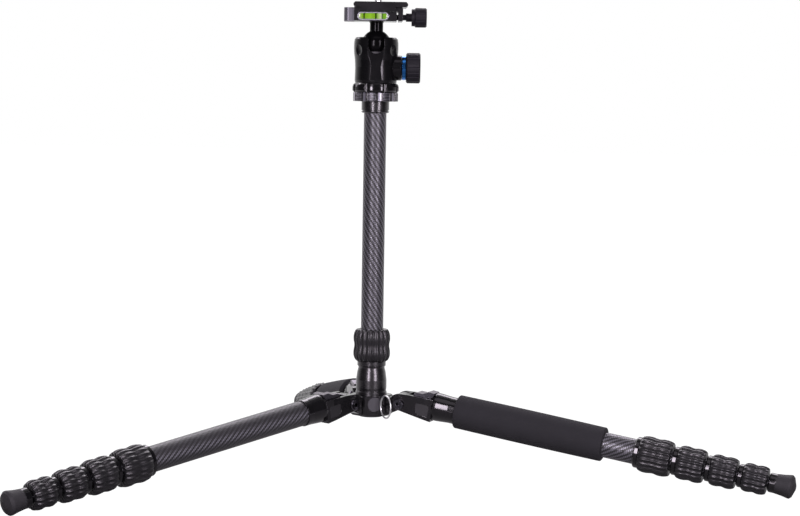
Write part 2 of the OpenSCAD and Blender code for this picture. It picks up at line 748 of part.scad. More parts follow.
// Fluted knob from z = 0, with rounded edges
module fluted_knob(d, len, flutes, edge) {
    difference() {
        turned([[d / 2 - edge, 0], [d / 2, edge], [d / 2, len - edge], [d / 2 - edge, len]]);
        for (i = [0 : flutes - 1]) rotate([0, 0, i * 360 / flutes])
            translate([d / 2 + edge - d * knob_flute_share, 0, -over])
                cylinder(r = edge, h = len + 2 * over, $fn = 16);
    }
}

// Main locking knob with its shaft
module main_knob() {
    from = boss_end + friction_ring_len + 2 * thin_gap;
    color("#232327") on_knob_axis() {
        translate([0, 0, from]) fluted_knob(knob_d, knob_len, 20, knob_edge);
        translate([0, 0, shaft_from]) cylinder(d = shaft_d, h = from);
    }
}

// Friction ring between the housing's boss and the main knob
module friction_ring() {
    edge = friction_ring_len / 10;
    color("#3f83c4") on_knob_axis(boss_end + thin_gap) turned([
        [friction_ring_d / 2 - edge, 0], [friction_ring_d / 2, edge],
        [friction_ring_d / 2, friction_ring_len - edge],
        [friction_ring_d / 2 - edge, friction_ring_len]], shaft_d + 2 * run_gap);
}

// Small knob at the back that locks panning
module pan_knob() {
    from = housing_d / 2 + pan_boss_rise + thin_gap;
    color("#232327") at_column() translate([0, 0, pan_knob_z]) rotate([-90, 0, 0]) {
        translate([0, 0, from]) fluted_knob(pan_knob_d, pan_knob_d * 0.72, 14, small_knob_edge);
        translate([0, 0, housing_d / 4 + body_gap]) cylinder(d = shaft_d / 2, h = from - housing_d / 4);
    }
}

// Ball with a flat on top, and the stem bonded there with a small collar under the clamp
stem_collar = 0.6;
module ball_stem() {
    flat_z = ball_d * 0.44;
    color("#0c0c0c") at_column() translate([0, 0, ball_z]) {
        difference() {
            sphere(d = ball_d, $fn = 96);
            translate([-ball_d, -ball_d, flat_z]) cube(2 * ball_d);
        }
        turned([[stem_d / 2, flat_z + bond_gap], [stem_d / 2, clamp_rise - 2 * stem_collar],
            [stem_d / 2 + stem_collar, clamp_rise - stem_collar],
            [stem_d / 2 + stem_collar, clamp_rise - thin_gap]]);
    }
}

// Quick-release clamp and plate

floor_t = clamp_h * 0.66;
dovetail_h = clamp_h - floor_t - body_gap;
dovetail_slope = dovetail_h * 0.58;
neck_half = dovetail_w / 2 - dovetail_slope;
deck_shift = 2.3;
fixed_jaw_w = 3.8;
end_drop = 0.2;
level_proud = 0.25;
fixed_jaw_x = seat_x - dovetail_w / 2 - body_gap;
jaw_x = clamp_right + split_gap;
screw_d = 5;
screw_sleeve_d = 7.4;
screw_z = clamp_z + clamp_h * 0.33;
level_w = 27.6;
level_h = 7;
level_x = -3.2;
level_z = clamp_z + 4.2;

// Rounded slot outline centred on the origin
module slot_outline(w, h) {
    for (x = [-1, 1]) translate([x * (w - h) / 2, 0]) circle(d = h);
    square([w - h, h], center = true);
}

// Clamp body: floor, fixed jaw with its undercut, rounded end and level seat
module clamp_body() {
    wall_x = fixed_jaw_x - fixed_jaw_w;
    end_r = (clamp_left + wall_x) * 0.5;
    color("#141414") at_column() difference() {
        union() {
            translate([0, clamp_depth / 2, clamp_z]) rotate([90, 0, 0]) linear_extrude(clamp_depth)
                polygon([[wall_x, 0], [clamp_right, 0], [clamp_right, floor_t],
                    [fixed_jaw_x, floor_t], [fixed_jaw_x, floor_t + body_gap],
                    [seat_x - neck_half - body_gap, clamp_h],
                    [wall_x, clamp_h]]);
            translate([0, 0, clamp_z]) linear_extrude(clamp_h - end_drop) {
                for (y = [-1, 1]) translate([-clamp_left + end_r, y * clamp_depth * 0.3])
                    circle(r = end_r);
                translate([-clamp_left, -clamp_depth * 0.3]) square([end_r, clamp_depth * 0.6]);
                translate([-clamp_left + end_r, -clamp_depth * 0.3 - end_r])
                    square([end_r, clamp_depth * 0.6 + 2 * end_r]);
            }
        }
        translate([0, 0, screw_z]) rotate([0, 90, 0])
            cylinder(d = screw_d + 2 * run_gap, h = 2 * clamp_right);
        translate([level_x, -clamp_depth / 2, level_z]) rotate([90, 0, 0])
            translate([0, 0, -level_h * 0.45]) linear_extrude(level_h)
                slot_outline(level_w + 2 * run_gap, level_h + 2 * run_gap);
    }
}

// Bubble level in the clamp's front: rim and tube
module bubble_level() {
    rim = 0.8;
    color("#9be01a") at_column() translate([level_x, -clamp_depth / 2 - level_proud, level_z])
        rotate([90, 0, 0]) translate([0, 0, -level_h * 0.45 - level_proud]) difference() {
            linear_extrude(level_h * 0.45 + 2 * level_proud) slot_outline(level_w, level_h);
            translate([0, 0, level_h * 0.45]) linear_extrude(over)
                slot_outline(level_w - 2 * rim, level_h - 2 * rim);
        }
}

// Moving jaw
module clamp_jaw() {
    edge = jaw_t / 5;
    color("#141414") at_column() difference() {
        translate([0, clamp_depth / 2, clamp_z]) rotate([90, 0, 0]) linear_extrude(clamp_depth)
            polygon([[jaw_x, 0], [jaw_x + jaw_t - edge, 0], [jaw_x + jaw_t, edge],
                [jaw_x + jaw_t, clamp_h - edge], [jaw_x + jaw_t - edge, clamp_h],
                [seat_x + neck_half + body_gap, clamp_h],
                [seat_x + dovetail_w / 2 + body_gap, floor_t + body_gap], [jaw_x, floor_t]]);
        translate([jaw_x - over, 0, screw_z]) rotate([0, 90, 0])
            cylinder(d = screw_d + 2 * run_gap, h = jaw_t + 2 * over);
    }
}

// Clamp knob with its collar and screw
module clamp_knob() {
    from = jaw_x + jaw_t + clamp_screw_show;
    collar = clamp_knob_len * 0.2;
    color("#232327") at_column() translate([0, 0, screw_z]) rotate([0, 90, 0]) {
        translate([0, 0, from + collar])
            fluted_knob(clamp_knob_d, clamp_knob_len - collar, 16, small_knob_edge);
        translate([0, 0, from]) cylinder(d = clamp_knob_d * 0.88, h = collar + over);
        translate([0, 0, from - clamp_screw_show + jaw_travel + body_gap])
            cylinder(d = screw_sleeve_d, h = clamp_screw_show - jaw_travel);
        translate([0, 0, shaft_from]) cylinder(d = screw_d, h = from);
    }
}

// Quick-release plate: deck with a dovetail below
module quick_plate() {
    top = clamp_top + body_gap + plate_t;
    edge = plate_t / 3;
    left = seat_x + deck_shift - plate_w / 2;
    right = left + plate_w;
    foot = -plate_t - dovetail_h;
    color("#101010") at_column() difference() {
        translate([0, plate_depth / 2, top]) rotate([90, 0, 0]) linear_extrude(plate_depth)
            polygon([[left + edge, 0], [right - edge, 0], [right, -edge], [right, edge - plate_t],
                [right - edge, -plate_t], [seat_x + neck_half, -plate_t],
                [seat_x + dovetail_w / 2, foot], [seat_x - dovetail_w / 2, foot],
                [seat_x - neck_half, -plate_t], [left + edge, -plate_t], [left, edge - plate_t],
                [left, -edge]]);
        translate([seat_x, 0, top + foot - over])
            cylinder(d = camera_screw_d + 2 * body_gap, h = over - foot + over);
        translate([seat_x, 0, top + foot - over])
            cylinder(d = camera_head_d + 2 * body_gap, h = camera_head_h + over + body_gap);
    }
}

camera_screw_d = 6.35;
camera_neck_d = 5.2;
camera_head_d = 15;
camera_head_h = 3;
slot_w = 1.6;
slot_deep = 1.2;

// Camera screw with its slotted head under the plate
module camera_screw() {
    top = clamp_top + body_gap + plate_t;
    from = top - plate_t - dovetail_h;
    color("silver") at_column() translate([seat_x, 0, from]) difference() {
        union() {
            cylinder(d = camera_head_d, h = camera_head_h);
            cylinder(d = camera_neck_d, h = top - from + over);
            translate([0, 0, top - from]) cylinder(d = camera_screw_d, h = screw_rise);
        }
        translate([-camera_head_d, -slot_w / 2, -over])
            cube([2 * camera_head_d, slot_w, slot_deep + over]);
    }
}

hub();
neck();
leg_pivot_bolts();
hub_caps();
strap_ring();
column_lock();
column_tube();
column_end_stop();
column_top_plate();
union() {
    pan_base();
    head_stud();
}
ball_housing();
ball_seat();
main_knob();
friction_ring();
pan_knob();
ball_stem();
clamp_body();
bubble_level();
clamp_jaw();
clamp_knob();
quick_plate();
camera_screw();
for (i = [LEFT, RIGHT, REAR]) {
    shoulder(i);
    stop_tab(i);
    for (n = [0 : LOCKS])
        leg_tube(i, n);
    for (n = [0 : LOCKS - 1])
        twist_lock(i, n);
    rubber_foot(i);
}
foam_grip(RIGHT);  // right_grip
foam_grip(REAR);  // rear_grip
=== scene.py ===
import json
import math

import bpy
from mathutils import Matrix, Vector


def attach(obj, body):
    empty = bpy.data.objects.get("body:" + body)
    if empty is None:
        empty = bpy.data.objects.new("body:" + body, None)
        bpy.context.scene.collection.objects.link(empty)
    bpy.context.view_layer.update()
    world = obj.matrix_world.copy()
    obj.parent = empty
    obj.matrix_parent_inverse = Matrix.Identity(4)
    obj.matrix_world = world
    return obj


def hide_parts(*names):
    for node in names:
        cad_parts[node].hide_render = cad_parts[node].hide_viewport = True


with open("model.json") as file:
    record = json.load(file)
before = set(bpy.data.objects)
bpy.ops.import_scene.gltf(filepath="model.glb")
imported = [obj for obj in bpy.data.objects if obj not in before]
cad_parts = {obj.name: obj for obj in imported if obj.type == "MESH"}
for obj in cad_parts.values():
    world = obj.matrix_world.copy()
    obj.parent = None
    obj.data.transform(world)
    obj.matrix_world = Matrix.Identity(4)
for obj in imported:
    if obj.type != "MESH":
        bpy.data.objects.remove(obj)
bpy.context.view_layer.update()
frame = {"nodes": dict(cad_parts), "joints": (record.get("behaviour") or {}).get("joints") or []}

MM = 0.001
LEGS = ("left", "right", "rear")
FOAM_LEGS = ("right", "rear")
JOINTS = {joint["name"]: joint for joint in frame["joints"]}

# Camera, from a fit to the column and the two front legs in the photograph
PHOTO_WIDTH_PX = 800
FOCAL_PX = 2229.95
SENSOR_WIDTH = 36
CAMERA_DISTANCE = 1990.1 * MM
CAMERA_RISE = 271.5 * MM
CAMERA_RIGHT = 0.88 * MM
PITCH_DOWN = math.radians(4.102)
YAW_RIGHT = math.radians(0.667)
ROLL = math.radians(0.898)


# Places from the frame


def joint_point(name):
    return Vector(JOINTS[name]["pos_m"])


def joint_axis(name):
    return Vector(JOINTS[name]["axis"])


def leg_frame(leg):
    """Matrix of a leg: x runs out along its tube, z is its upper side, origin on the tube's axis."""
    out = joint_axis(f"{leg}_slide_2").normalized()
    side = -joint_axis(f"{leg}_leg_fold").normalized()
    upper = out.cross(side).normalized()
    pivot = joint_point(f"{leg}_leg_fold")
    on_axis = joint_point(f"{leg}_lock_1_twist")
    origin = on_axis - out * (on_axis - pivot).dot(out)
    matrix = Matrix((out, side, upper)).transposed().to_4x4()
    matrix.translation = origin
    return matrix


COLUMN = joint_point("pan")
PIVOT_Z = joint_point("left_leg_fold").z


def column_frame():
    """Matrix of the column: x runs up it, so that tubes share one pattern."""
    matrix = Matrix(((0, 1, 0), (0, 0, 1), (1, 0, 0))).to_4x4()
    matrix.translation = Vector((COLUMN.x, COLUMN.y, 0))
    return matrix


def local_points(node, matrix):
    """Points of a CAD mesh, in the given frame."""
    inverse = matrix.inverted()
    return [inverse @ vertex.co for vertex in frame["nodes"][node].data.vertices]


def off_axis(point):
    """Distance of a point from its frame's x axis."""
    return math.hypot(point.y, point.z)


def extent(points):
    """First and last station along a frame's x axis, and the largest distance from it."""
    stations = [point.x for point in points]
    return min(stations), max(stations), max(off_axis(point) for point in points)


def corners_of(node):
    """Lowest and highest corner of a CAD mesh."""
    points = [vertex.co for vertex in frame["nodes"][node].data.vertices]
    low = Vector([min(point[axis] for point in points) for axis in range(3)])
    high = Vector([max(point[axis] for point in points) for axis in range(3)])
    return low, high


# Nodes of a material


# The photograph's black surfaces reflect with a faint violet
VIOLET = (1.0, 0.95, 1.0)

NOISE_DETAIL = 3.0
NOISE_ROUGHNESS = 0.5
BEVEL_SAMPLES = 4


class Nodes:
    """A material's node tree, with short calls for the nodes used here."""

    def __init__(self, name, color, roughness, **sockets):
        self.material = bpy.data.materials.new(name)
        self.material.use_nodes = True
        self.tree = self.material.node_tree
        self.shader = self.tree.nodes["Principled BSDF"]
        self.shader.inputs["Base Color"].default_value = (*color, 1)
        self.shader.inputs["Roughness"].default_value = roughness
        self.shader.inputs["Specular Tint"].default_value = (*VIOLET, 1)
        for socket, value in sockets.items():
            self.shader.inputs[socket.replace("_", " ")].default_value = value

    def link(self, value, socket):
        if isinstance(value, (int, float)):
            socket.default_value = value
        else:
            self.tree.links.new(value, socket)

    def place(self, matrix=None):
        """Object coordinates, turned into the given frame."""
        coordinates = self.tree.nodes.new("ShaderNodeTexCoord").outputs["Object"]
        if matrix is None:
            return coordinates
        mapping = self.tree.nodes.new("ShaderNodeMapping")
        mapping.vector_type = "TEXTURE"
        mapping.inputs["Location"].default_value = matrix.to_translation()
        mapping.inputs["Rotation"].default_value = matrix.to_euler()
        self.tree.links.new(coordinates, mapping.inputs["Vector"])
        return mapping.outputs["Vector"]

    def split(self, vector):
        node = self.tree.nodes.new("ShaderNodeSeparateXYZ")
        self.tree.links.new(vector, node.inputs[0])
        return node.outputs

    def math(self, operation, *values):
        node = self.tree.nodes.new("ShaderNodeMath")
        node.operation = operation
        for index, value in enumerate(values):
            self.link(value, node.inputs[index])
        return node.outputs[0]

    def noise(self, vector, scale):
        node = self.tree.nodes.new("ShaderNodeTexNoise")
        self.tree.links.new(vector, node.inputs["Vector"])
        node.inputs["Scale"].default_value = scale
        node.inputs["Detail"].default_value = NOISE_DETAIL
        node.inputs["Roughness"].default_value = NOISE_ROUGHNESS
        return node.outputs["Fac"]

    def ramp(self, value, low, high):
        """Turns a value from 0 to 1 into a range."""
        node = self.tree.nodes.new("ShaderNodeMapRange")
        self.link(value, node.inputs["Value"])
        node.inputs["To Min"].default_value = low
        node.inputs["To Max"].default_value = high
        return node.outputs["Result"]

    def mix_color(self, value, low, high):
        """Base colour between two colours, by a value from 0 to 1."""
        node = self.tree.nodes.new("ShaderNodeMix")
        node.data_type = "RGBA"
        sockets = {socket.identifier: socket for socket in (*node.inputs, *node.outputs)}
        self.link(value, sockets["Factor_Float"])
        sockets["A_Color"].default_value = (*low, 1)
        sockets["B_Color"].default_value = (*high, 1)
        self.tree.links.new(sockets["Result_Color"], self.shader.inputs["Base Color"])

    def bump(self, height, distance, strength=1.0, edge=0.0):
        """Relief from a height, and edges rounded by the given radius."""
        node = self.tree.nodes.new("ShaderNodeBump")
        if edge:
            rounding = self.tree.nodes.new("ShaderNodeBevel")
            rounding.samples = BEVEL_SAMPLES
            rounding.inputs["Radius"].default_value = edge
            self.tree.links.new(rounding.outputs["Normal"], node.inputs["Normal"])
        self.link(height, node.inputs["Height"])
        node.inputs["Distance"].default_value = distance
        node.inputs["Strength"].default_value = strength
        self.tree.links.new(node.outputs["Normal"], self.shader.inputs["Normal"])


# Finishes


# Blue of a grey against its value: none, the lean of the photograph's blacks, and of its knobs
NEUTRAL = 1.0
VIOLET_LEAN = 1.12
BLUE_LEAN = 1.3

# Radius that edges are rounded by, and noise scale of the slow changes of a surface
EDGE = 0.35 * MM
WEAR_SCALE = 60


def grey(value, blue=VIOLET_LEAN):
    """Grey whose blue is raised by the given factor, and its green lowered by a third of that."""
    return (value, value * (1 - (blue - NEUTRAL) / 3), value * blue)


def grained(name, low, high, roughness, grain, depth, spread=0.06, edge=EDGE, **sockets):
    """Moulded or blasted surface: colour and gloss vary faintly over a fine grain of some depth."""
    nodes = Nodes(name, low, roughness, **sockets)
    place = nodes.place()
    wear = nodes.noise(place, WEAR_SCALE)
    nodes.mix_color(wear, low, high)
    gloss = nodes.ramp(wear, roughness - spread, roughness + spread)
    nodes.link(gloss, nodes.shader.inputs["Roughness"])
    nodes.bump(nodes.noise(place, grain), depth, edge=edge)
    return nodes.material


# Carbon twill: four tows to a repeat, two over and two under
TOW_ROUND = 1.0 * MM
TOW_ALONG = 1.5 * MM
TWILL_REPEAT = 4
TOW_BLOCK = 0.6
TOW_EDGE_SHINE = 0.2
TOW_RELIEF = 0.06 * MM
TOW_RELIEF_STRENGTH = 0.7
TOW_OVER_RISE = 0.6
TOW_DARK = grey(0.006)
TOW_PALE = grey(0.18)
TOW_ROUGH = (0.5, 0.34)
TOW_METAL = 0.75
CARBON_GREY = grey(0.03)
LACQUER = {"Coat_Weight": 0.15, "Coat_Roughness": 0.3}

# Painted highlight on a leg's twill, a band of paler tows: turn about the tube from its side, half
# width, colour of the tows there and the shine left outside it
HIGHLIGHT_BAND_TURN = math.radians(4)
HIGHLIGHT_BAND_WIDTH = math.radians(15)
HIGHLIGHT_BAND_PALE = grey(0.26)
OUTSIDE_HIGHLIGHT_BAND = 0.14


def carbon(name, matrix, radius, painted_highlight_band):
    """Woven tube round the frame's x axis, with a painted highlight band where it is asked for."""
    nodes = Nodes(name, CARBON_GREY, TOW_ROUGH[1], **LACQUER)
    along, side, upper = nodes.split(nodes.place(matrix))
    angle = nodes.math("ARCTAN2", upper, side)
    arc = nodes.math("MULTIPLY", angle, radius)
    column = nodes.math("DIVIDE", arc, TOW_ROUND)
    row = nodes.math("DIVIDE", along, TOW_ALONG)
    whole_column = nodes.math("FLOOR", column)
    whole_row = nodes.math("FLOOR", row)
    step = nodes.math("ADD", whole_column, whole_row)
    phase = nodes.math("WRAP", step, float(TWILL_REPEAT), 0.0)
    over = nodes.math("LESS_THAN", phase, TWILL_REPEAT / 2 - 0.5)
    across = nodes.math("FRACT", column)
    lengthwise = nodes.math("FRACT", row)
    crown_a = nodes.math("SINE", nodes.math("MULTIPLY", across, math.pi))
    crown_b = nodes.math("SINE", nodes.math("MULTIPLY", lengthwise, math.pi))
    crown = nodes.math("MULTIPLY", crown_a, crown_b)
    block = nodes.math("POWER", crown, TOW_BLOCK)
    shine = nodes.math("MULTIPLY", over, nodes.ramp(block, TOW_EDGE_SHINE, 1.0))
    # Painted highlight: tows paler and shinier in a band along the tube, dimmer outside it
    if painted_highlight_band:
        off = nodes.math("DIVIDE", nodes.math("SUBTRACT", angle, HIGHLIGHT_BAND_TURN), HIGHLIGHT_BAND_WIDTH)
        squared = nodes.math("MULTIPLY", off, off)
        bell = nodes.math("EXPONENT", nodes.math("MULTIPLY", squared, -1.0))
        shine = nodes.math("MULTIPLY", shine, nodes.ramp(bell, OUTSIDE_HIGHLIGHT_BAND, 1.0))
    nodes.mix_color(shine, TOW_DARK, HIGHLIGHT_BAND_PALE if painted_highlight_band else TOW_PALE)
    nodes.link(nodes.ramp(shine, *TOW_ROUGH), nodes.shader.inputs["Roughness"])
    nodes.link(nodes.ramp(shine, 0.0, TOW_METAL), nodes.shader.inputs["Metallic"])
    relief = nodes.math("ADD", nodes.math("MULTIPLY", over, TOW_OVER_RISE), crown)
    nodes.bump(relief, TOW_RELIEF, TOW_RELIEF_STRENGTH)
    return nodes.material


# Each finish: darkest and palest colour, roughness, grain as noise scale, and the grain's depth
FOAM = grained("foam", grey(0.014), grey(0.022), 0.9, grain=2600, depth=0.12 * MM, edge=0.0,
               Specular_IOR_Level=0.3)
FOOT = grained("foot_rubber", grey(0.009), grey(0.015), 0.7, grain=1500, depth=0.05 * MM)
RIB_RUBBER = grained("rib_rubber", grey(0.006), grey(0.01), 0.32, grain=1500, depth=0.03 * MM,
                     edge=0.0)
KNOB = grained("knob_rubber", grey(0.006, BLUE_LEAN), grey(0.01, BLUE_LEAN), 0.5, grain=1500,
               depth=0.04 * MM, Specular_IOR_Level=0.2)
BLASTED = grained("blasted_black", grey(0.003), grey(0.005), 0.2, grain=2200, depth=0.01 * MM,
                  Specular_IOR_Level=0.28)
CAST = grained("cast_black", grey(0.003), grey(0.006), 0.16, grain=900, depth=0.01 * MM)
GLOSS = grained("gloss_black", grey(0.003), grey(0.005), 0.12, grain=700, depth=0.004 * MM,
                spread=0.03)
BALL = grained("ball_black", grey(0.002), grey(0.003), 0.14, grain=700, depth=0.002 * MM,
               spread=0.03, Specular_IOR_Level=0.08)
# Painted reflection: paler grey on the clamp's rounded end block
END_BLOCK_PAINTED_REFLECTION = grained("end_block_painted_reflection", grey(0.1), grey(0.14), 0.4, grain=1400, depth=0.01 * MM,
                    Metallic=0.6)
SOFT_GLOSS = grained("soft_gloss", grey(0.003), grey(0.005), 0.27, grain=700, depth=0.004 * MM,
                     spread=0.03, Specular_IOR_Level=0.8)
TAB = grained("tab_metal", grey(0.05), grey(0.08), 0.28, grain=1400, depth=0.006 * MM,
              Metallic=0.7)
# Painted highlights on the disc under the head: pale metal down its lands and on its ribs' crowns
LAND_PAINTED_HIGHLIGHT = grained("land_painted_highlight", grey(0.3), grey(0.36), 0.3, grain=1400, depth=0.004 * MM,
               Metallic=0.8)
RIB_CROWN_PAINTED_HIGHLIGHT = grained("rib_crown_painted_highlight", grey(0.14), grey(0.18), 0.35, grain=1400, depth=0.004 * MM,
                    Metallic=0.6)
SATIN = grained("satin_black", grey(0.005), grey(0.009), 0.24, grain=1400, depth=0.01 * MM)
PAD = grained("shoulder_pad", grey(0.007), grey(0.01), 0.5, grain=1800, depth=0.05 * MM)
CAP = grained("cap_plastic", grey(0.032), grey(0.042), 0.6, grain=1600, depth=0.03 * MM)
SEAT = grained("seat_plastic", grey(0.02), grey(0.03), 0.45, grain=900, depth=0.01 * MM)
STEEL = grained("bright_steel", grey(0.8, NEUTRAL), grey(0.88, NEUTRAL), 0.32, grain=900,
                depth=0.005 * MM, spread=0.04, Metallic=1.0)
BLUE = grained("anodised_blue", (0.03, 0.17, 0.5), (0.05, 0.24, 0.64), 0.2, grain=1200,
               depth=0.006 * MM, spread=0.04, Metallic=1.0)
BOLT = grained("bolt_steel", grey(0.07), grey(0.12), 0.13, grain=900, depth=0.004 * MM,
               spread=0.04, Metallic=1.0)
RIM = grained("level_rim", grey(0.5), grey(0.6), 0.3, grain=900, depth=0.005 * MM,
              spread=0.04, Metallic=1.0)

# Finish of the CAD nodes that have one finish, by name and, on the legs, by the name's last word
NODE_FINISH = {
    "hub": CAST, "neck": SOFT_GLOSS, "leg_pivot_bolts": BOLT, "hub_caps": CAP, "strap_ring": STEEL,
    "column_lock": RIB_RUBBER, "column_end_stop": CAP, "column_top_plate": SATIN,
    "pan_base": GLOSS, "ball_housing": BLASTED, "ball_seat": SEAT, "main_knob": KNOB,
    "friction_ring": BLUE, "pan_knob": KNOB, "ball_stem": BALL,
    "bubble_level": RIM, "clamp_jaw": SATIN, "clamp_knob": KNOB, "quick_plate": SATIN,
    "camera_screw": STEEL,
}
LEG_FINISH = {"tab": TAB, "grip": FOAM}


def finish_of(node):
    if node in NODE_FINISH:
        return NODE_FINISH[node]
    if "_lock_" in node:
        return RIB_RUBBER
    return LEG_FINISH[node.rsplit("_", 1)[-1]]


def leg_of(node):
    return node.split("_")[0]


def assign(piece, finishes, choose):
    """Gives each face of a CAD mesh the finish whose index choose(face) returns."""
    piece.data.materials.clear()
    for finish in finishes:
        piece.data.materials.append(finish)
    for face in piece.data.polygons:
        face.material_index = choose(face)


# Where a finish begins on a CAD piece
TUBE_END = 1 * MM
FERRULE_STEP = 0.15 * MM
FOOT_NECK_SHARE = 0.26
PAD_LEVEL = 0.999
PAD_SUNK = (0.2 * MM, 0.9 * MM)
PAD_TOP = 4 * MM
END_BLOCK_LENGTH = 8.5 * MM


def dress_tube(name, piece):
    """Carbon on the tube, gloss on its ferrule, which stands out past the tube's radius."""
    matrix = column_frame() if name.startswith("column") else leg_frame(leg_of(name))
    inverse = matrix.inverted()
    points = local_points(name, matrix)
    start, _, _ = extent(points)
    radius = max(off_axis(point) for point in points if point.x < start + TUBE_END)

    def choose(face):
        return 1 if off_axis(inverse @ face.center) > radius + FERRULE_STEP else 0

    # Tubes of the left leg carry the painted highlight band
    painted_highlight_band = name.startswith("left")
    assign(piece, (carbon(f"carbon_{name}", matrix, radius, painted_highlight_band), GLOSS), choose)


def dress_foot(name, piece):
    """Gloss on the foot's straight neck, matte rubber on its flare and cone."""
    matrix = leg_frame(leg_of(name))
    inverse = matrix.inverted()
    start, end, _ = extent(local_points(name, matrix))
    flare = start + FOOT_NECK_SHARE * (end - start)
    assign(piece, (FOOT, GLOSS), lambda face: 1 if (inverse @ face.center).x < flare else 0)


def dress_shoulder(name, piece):
    """Matte pads sunk in the sides of the shoulder, cast black elsewhere."""
    matrix = leg_frame(leg_of(name))
    inverse = matrix.inverted()
    half = max(abs(point.y) for point in local_points(name, matrix))
    least, most = PAD_SUNK

    def choose(face):
        at = inverse @ face.center
        across = abs((inverse.to_3x3() @ face.normal).y)
        sunk = half - abs(at.y)
        return 1 if across > PAD_LEVEL and least < sunk < most and at.z < PAD_TOP else 0

    assign(piece, (CAST, PAD), choose)


def dress_clamp(name, piece):
    """Paler grey on the rounded block at the clamp's end: a painted reflection."""
    block = corners_of(name)[0].x + END_BLOCK_LENGTH
    assign(piece, (SATIN, END_BLOCK_PAINTED_REFLECTION), lambda face: 1 if face.center.x < block else 0)


def dress_cad():
    for name, piece in frame["nodes"].items():
        if "_tube" in name:
            dress_tube(name, piece)
        elif name == "clamp_body":
            dress_clamp(name, piece)
        elif name.endswith("_foot"):
            dress_foot(name, piece)
        elif name.endswith("_shoulder"):
            dress_shoulder(name, piece)
        else:
            assign(piece, (finish_of(name),), lambda face: 0)


# Pieces made here


def new_piece(name, points, faces, finish, body):
    mesh = bpy.data.meshes.new(name)
    mesh.from_pydata([tuple(point) for point in points], [], faces)
    mesh.validate()
    mesh.shade_smooth()
    piece = bpy.data.objects.new(name, mesh)
    bpy.context.scene.collection.objects.link(piece)
    mesh.materials.append(finish)
    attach(piece, body)
    return piece


def around(matrix, station, radius, angle):
    """Point at an angle round the frame's x axis."""
    return matrix @ Vector((station, radius * math.cos(angle), radius * math.sin(angle)))


def full_turn(count):
    """Angles of a full turn in equal steps."""
    return [2 * math.pi * step / count for step in range(count)]


def ring_faces(rows, sides, closed=True, turned=False):
    """Faces between rings of points that follow each other, the other way out when turned."""
    faces = []
    for row in range(rows if closed else rows - 1):
        after = (row + 1) % rows
        for side in range(sides):
            beside = (side + 1) % sides
            here, next_to = row * sides + side, row * sides + beside
            over, across = after * sides + side, after * sides + beside
            faces.append((here, next_to, across, over) if turned else (here, over, across, next_to))
    return faces


# Foam sleeve: the rolled ends, as shares of the foam's wall, and the swell between them
FOAM_SIDES = 96
FOAM_ROWS = 60
ROLL_SHARE = 0.62
ROLL_LENGTH_SHARE = 0.6
ROLL_STEPS = 8
SWELL = 0.3 * MM


def rolled_end(station, inward, roll, full):
    """Profile of a rolled foam end, from its face to the full radius."""
    profile = []
    for step in range(ROLL_STEPS + 1):
        turn = math.pi / 2 * step / ROLL_STEPS
        profile.append((station + inward * roll * (1 - math.cos(turn)) * ROLL_LENGTH_SHARE,
                        full - roll * (1 - math.sin(turn))))
    return profile


def foam_grip(leg):
    """Foam sleeve with rolled ends and a slight swell, in place of the CAD solid."""
    node = f"{leg}_grip"
    matrix = leg_frame(leg)
    local = local_points(node, matrix)
    start, end, outer = extent(local)
    bore = min(off_axis(point) for point in local)
    roll = (outer - bore) * ROLL_SHARE
    full = outer - SWELL
    straight = end - start - 2 * ROLL_LENGTH_SHARE * roll
    profile = [(start, bore), *rolled_end(start, 1, roll, full)]
    for step in range(1, FOAM_ROWS):
        share = step / FOAM_ROWS
        profile.append((start + roll * ROLL_LENGTH_SHARE + straight * share,
                        full + SWELL * math.sin(math.pi * share)))
    profile += [*reversed(rolled_end(end, -1, roll, full)), (end, bore)]
    points = [around(matrix, station, radius, angle)
              for station, radius in profile for angle in full_turn(FOAM_SIDES)]
    faces = ring_faces(len(profile), FOAM_SIDES)
    piece = new_piece(f"{leg}_foam_sleeve", points, faces, FOAM, f"{leg}_leg")
    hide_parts(node)


# Stations of a grip ring: share of its length, share of the waist's depth, share of its drawn-in ends
RING_STATIONS = ((0, 1, 1), (0.04, 0.5, 0.55), (0.1, 0.22, 0.25), (0.18, 0.04, 0.03), (0.25, 0, 0),
                 (0.33, 0.12, 0), (0.42, 0.7, 0), (0.5, 1, 0), (0.57, 0.75, 0), (0.65, 0.15, 0),
                 (0.72, 0, 0), (0.8, 0.03, 0.03), (0.87, 0.16, 0.16), (0.92, 0.32, 0.32),
                 (0.97, 0.55, 0.55), (1, 0.8, 0.8))
RING_STEP_SHARE = 0.78
WAIST = 0.8 * MM
LEG_LOCK_ENDS = 1.6
COLUMN_LOCK_ENDS = 3
LOCKS_PER_LEG = 4

# Ends of a bore, where its radius is measured
BORE_END = 0.1 * MM

# Rounded ribs of a grip ring
RIB_PITCH = 4.5 * MM
RIB_DEPTH = 0.9 * MM
RIB_WIDTH_SHARE = 0.8
RIB_END_SHARE = 0.35
SIDES_PER_RIB = 16


def rib_share(turn):
    """Depth beside a rounded rib, as a share, at a turn of 0 to 1 across it."""
    edge = abs(2 * turn - 1)
    return 0.5 - 0.5 * math.cos(math.pi * min(1.0, edge / RIB_WIDTH_SHARE))


